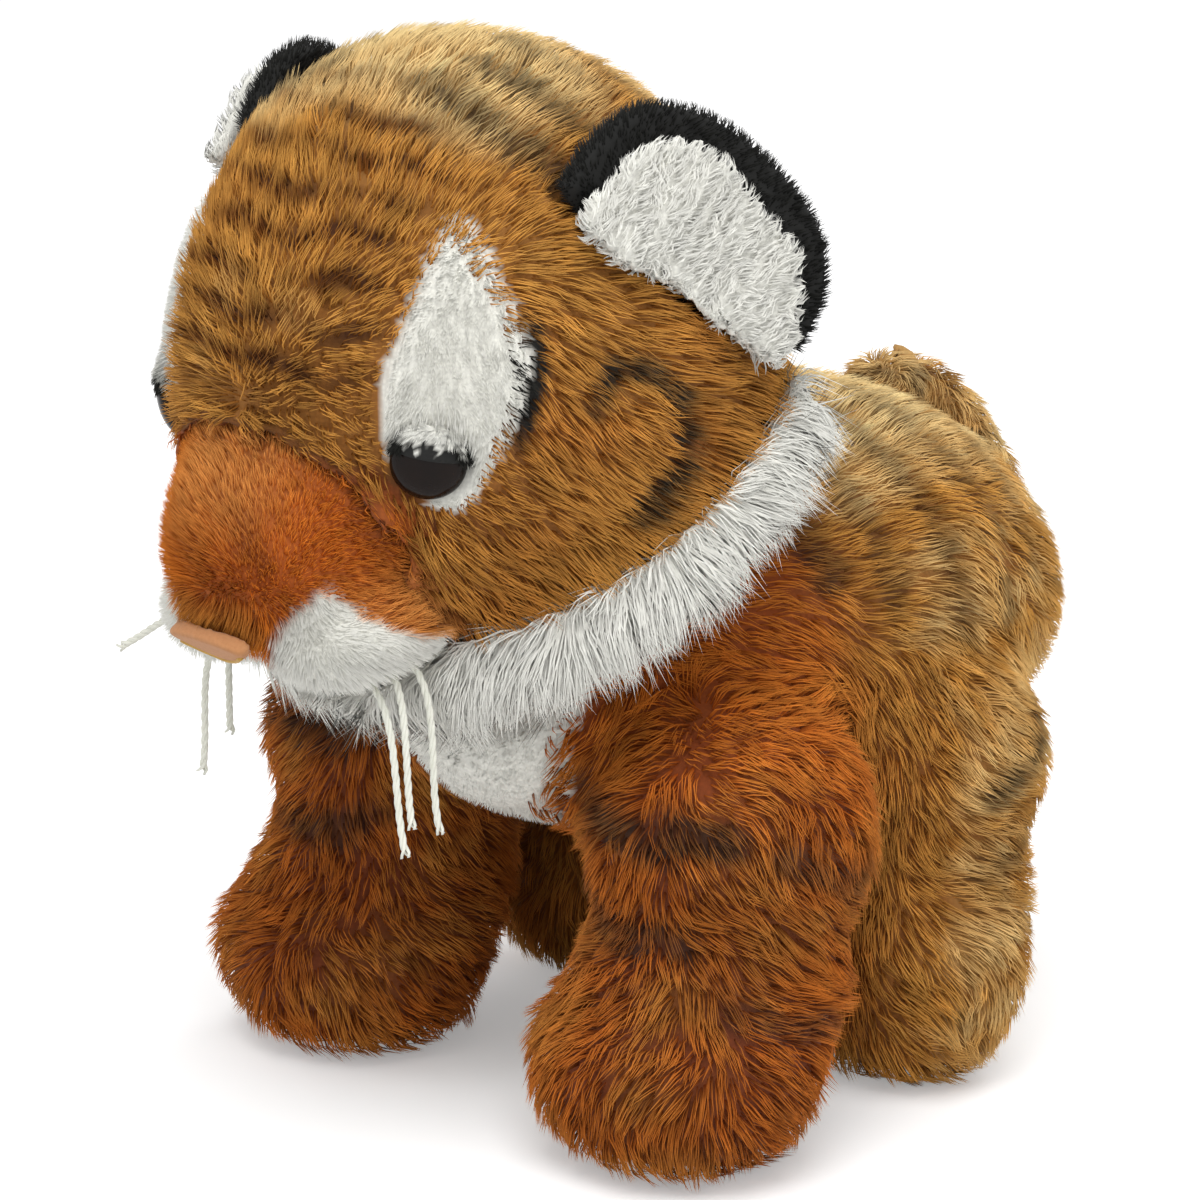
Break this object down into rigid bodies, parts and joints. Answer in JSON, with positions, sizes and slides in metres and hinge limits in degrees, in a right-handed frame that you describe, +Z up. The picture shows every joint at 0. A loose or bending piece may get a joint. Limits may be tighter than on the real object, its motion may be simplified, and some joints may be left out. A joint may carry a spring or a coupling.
{
  "type": "plush tiger",
  "caption": "Plush tiger cub on four thick legs with a big bowed head, round ears, bead eyes, floss whiskers and a hanging tail; neck, ears, legs and tail flex.",
  "frame": {"origin": "centre of the bounding box on the plane that the four soles stand on", "axes": "+Z up, -Y the way the cub faces, +X the cub's left side"},
  "size_m": [0.1468, 0.2104, 0.2],
  "materials": {
    "tan_plush": "clumped long pile",
    "rust_plush": "clumped long pile",
    "white_plush": "soft pile",
    "black_plush": "short pile",
    "fibre_filling": "loose polyester fibre",
    "eye_plastic": "polished",
    "washer_plastic": "moulded",
    "nose_fabric": "smooth knit",
    "floss_thread": "waxed floss"
  },
  "bodies": {
    "torso": {"torso_skin": "rust_plush", "chest_belly_panel": "white_plush", "torso_stuffing": "fibre_filling"},
    "neck": {"neck_stuffing": "fibre_filling"},
    "head": {"head_skin": "tan_plush", "head_stuffing": "fibre_filling", "muzzle_skin": "rust_plush", "muzzle_stuffing": "fibre_filling", "whisker_pads": "white_plush", "nose": "nose_fabric", "eye_patch_left": "white_plush", "eye_patch_right": "white_plush", "eye_left": "eye_plastic", "eye_right": "eye_plastic", "eye_washer_left": "washer_plastic", "eye_washer_right": "washer_plastic", "ruff_left": "white_plush", "ruff_right": "white_plush", "whisker_left_front": "floss_thread", "whisker_left_middle": "floss_thread", "whisker_left_rear": "floss_thread", "whisker_right_front": "floss_thread", "whisker_right_middle": "floss_thread", "whisker_right_rear": "floss_thread"},
    "ear_left": {"ear_back_left": "black_plush", "ear_lining_left": "white_plush"},
    "ear_right": {"ear_back_right": "black_plush", "ear_lining_right": "white_plush"},
    "front_left_leg": {"front_leg_skin_left": "rust_plush", "front_leg_stuffing_left": "fibre_filling"},
    "front_right_leg": {"front_leg_skin_right": "rust_plush", "front_leg_stuffing_right": "fibre_filling"},
    "hind_left_leg": {"hind_leg_skin_left": "rust_plush", "hind_leg_stuffing_left": "fibre_filling"},
    "hind_right_leg": {"hind_leg_skin_right": "rust_plush", "hind_leg_stuffing_right": "fibre_filling"},
    "tail_root": {"tail_root_stuffing": "fibre_filling"},
    "tail": {"tail_skin": "rust_plush", "tail_stuffing": "fibre_filling"}
  },
  "joints": [
    {"name": "neck_turn", "type": "hinge", "parent": "torso", "child": "neck", "pos_m": [0, -0.01466, 0.106], "axis": [0, -0.6428, 0.766], "range_deg": [-15, 15], "stiffness_Nm_per_rad": 0.8},
    {"name": "neck_nod", "type": "hinge", "parent": "neck", "child": "head", "pos_m": [0, -0.01466, 0.106], "axis": [1, 0, 0], "range_deg": [-8, 8], "stiffness_Nm_per_rad": 1},
    {"name": "ear_left_fold", "type": "hinge", "parent": "head", "child": "ear_left", "pos_m": [0.04825, -0.03706, 0.16118], "axis": [0.2517, 0.7668, -0.5905], "range_deg": [-5, 10], "stiffness_Nm_per_rad": 0.03},
    {"name": "ear_right_fold", "type": "hinge", "parent": "head", "child": "ear_right", "pos_m": [-0.04825, -0.03706, 0.16118], "axis": [0.2517, -0.7668, 0.5905], "range_deg": [-5, 10], "stiffness_Nm_per_rad": 0.03},
    {"name": "front_left_leg_swing", "type": "hinge", "parent": "torso", "child": "front_left_leg", "pos_m": [0.044, -0.01966, 0.058], "axis": [1, 0, 0], "range_deg": [-8, 3], "stiffness_Nm_per_rad": 0.5},
    {"name": "front_right_leg_swing", "type": "hinge", "parent": "torso", "child": "front_right_leg", "pos_m": [-0.044, -0.01966, 0.058], "axis": [1, 0, 0], "range_deg": [-8, 3], "stiffness_Nm_per_rad": 0.5},
    {"name": "hind_left_leg_swing", "type": "hinge", "parent": "torso", "child": "hind_left_leg", "pos_m": [0.04, 0.03334, 0.06], "axis": [1, 0, 0], "range_deg": [-3, 8], "stiffness_Nm_per_rad": 0.5},
    {"name": "hind_right_leg_swing", "type": "hinge", "parent": "torso", "child": "hind_right_leg", "pos_m": [-0.04, 0.03334, 0.06], "axis": [1, 0, 0], "range_deg": [-3, 8], "stiffness_Nm_per_rad": 0.5},
    {"name": "tail_lift", "type": "hinge", "parent": "torso", "child": "tail_root", "pos_m": [0, 0.06434, 0.118], "axis": [1, 0, 0], "range_deg": [0, 20], "stiffness_Nm_per_rad": 0.08},
    {"name": "tail_swing", "type": "hinge", "parent": "tail_root", "child": "tail", "pos_m": [0, 0.06434, 0.118], "axis": [0, 0, 1], "range_deg": [-15, 15], "stiffness_Nm_per_rad": 0.08}
  ]
}
